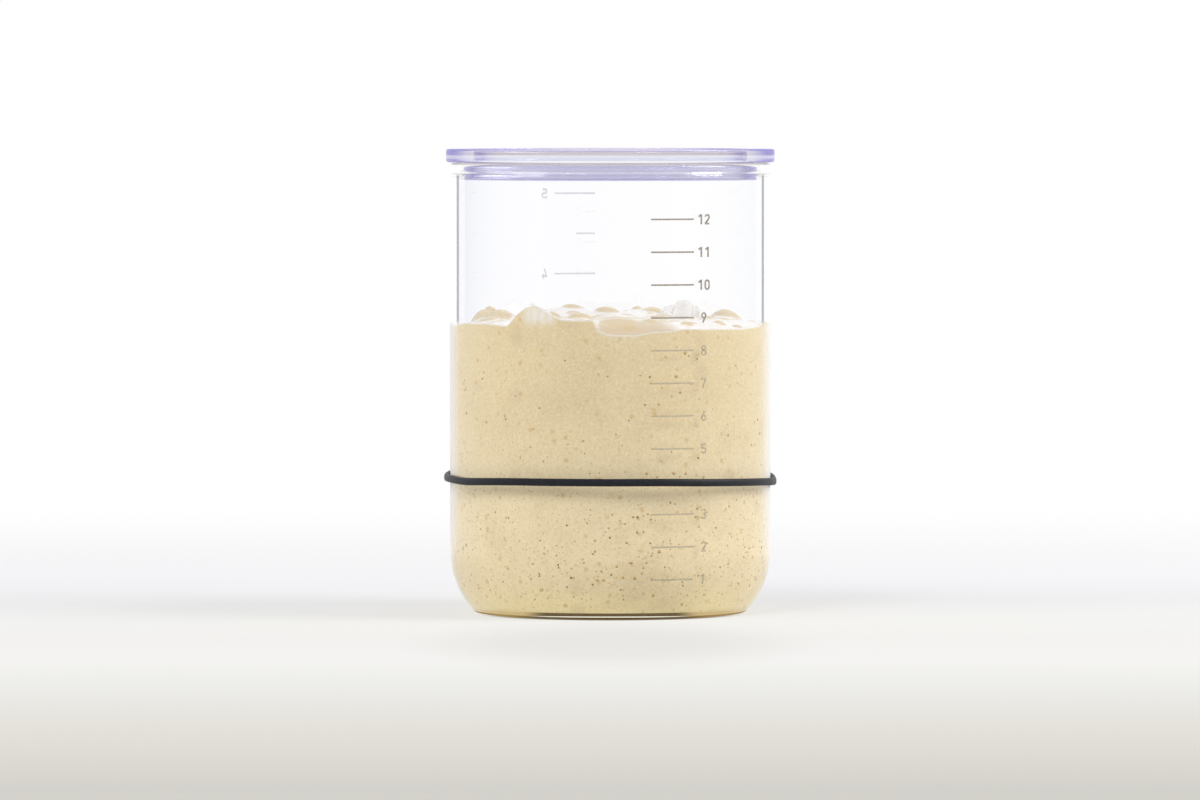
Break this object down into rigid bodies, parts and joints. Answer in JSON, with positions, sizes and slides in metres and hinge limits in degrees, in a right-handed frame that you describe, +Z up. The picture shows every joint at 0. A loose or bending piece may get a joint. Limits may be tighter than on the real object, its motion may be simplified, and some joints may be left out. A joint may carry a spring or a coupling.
{
  "type": "sourdough starter jar",
  "caption": "Straight-walled clear glass jar with a rounded heel, loose clear plug lid, printed length scales and a black marker band, part filled with risen starter.",
  "frame": {"origin": "centre of the jar's standing ring, on the surface that it stands on", "axes": "+Z up along the jar's axis; -Y is the side with the centimetre scale, towards the camera of the picture; +X is that view's right"},
  "size_m": [0.1034, 0.1034, 0.1438],
  "materials": {
    "clear_glass": "clear, fire-polished",
    "brown_enamel": "fired enamel print, satin",
    "grey_enamel": "fired enamel print, satin",
    "starter_batter": "wet, pored flour batter",
    "starter_froth": "thin wet film",
    "clear_plastic": "clear, polished, faint violet tint",
    "black_rubber": "smooth, slight sheen"
  },
  "bodies": {
    "jar": {"glass_jar": "clear_glass", "cm_scale": "brown_enamel", "inch_scale": "grey_enamel", "starter": "starter_batter", "froth_bubbles": "starter_froth"},
    "lid": {"lid": "clear_plastic"},
    "band": {"marker_band": "black_rubber"}
  },
  "joints": [
    {"name": "lid_lift", "type": "slide", "parent": "jar", "child": "lid", "axis": [0, 0, 1], "range_m": [0, 0.06]},
    {"name": "band_slide", "type": "slide", "parent": "jar", "child": "band", "axis": [0, 0, 1], "range_m": [-0.02, 0.09]}
  ]
}
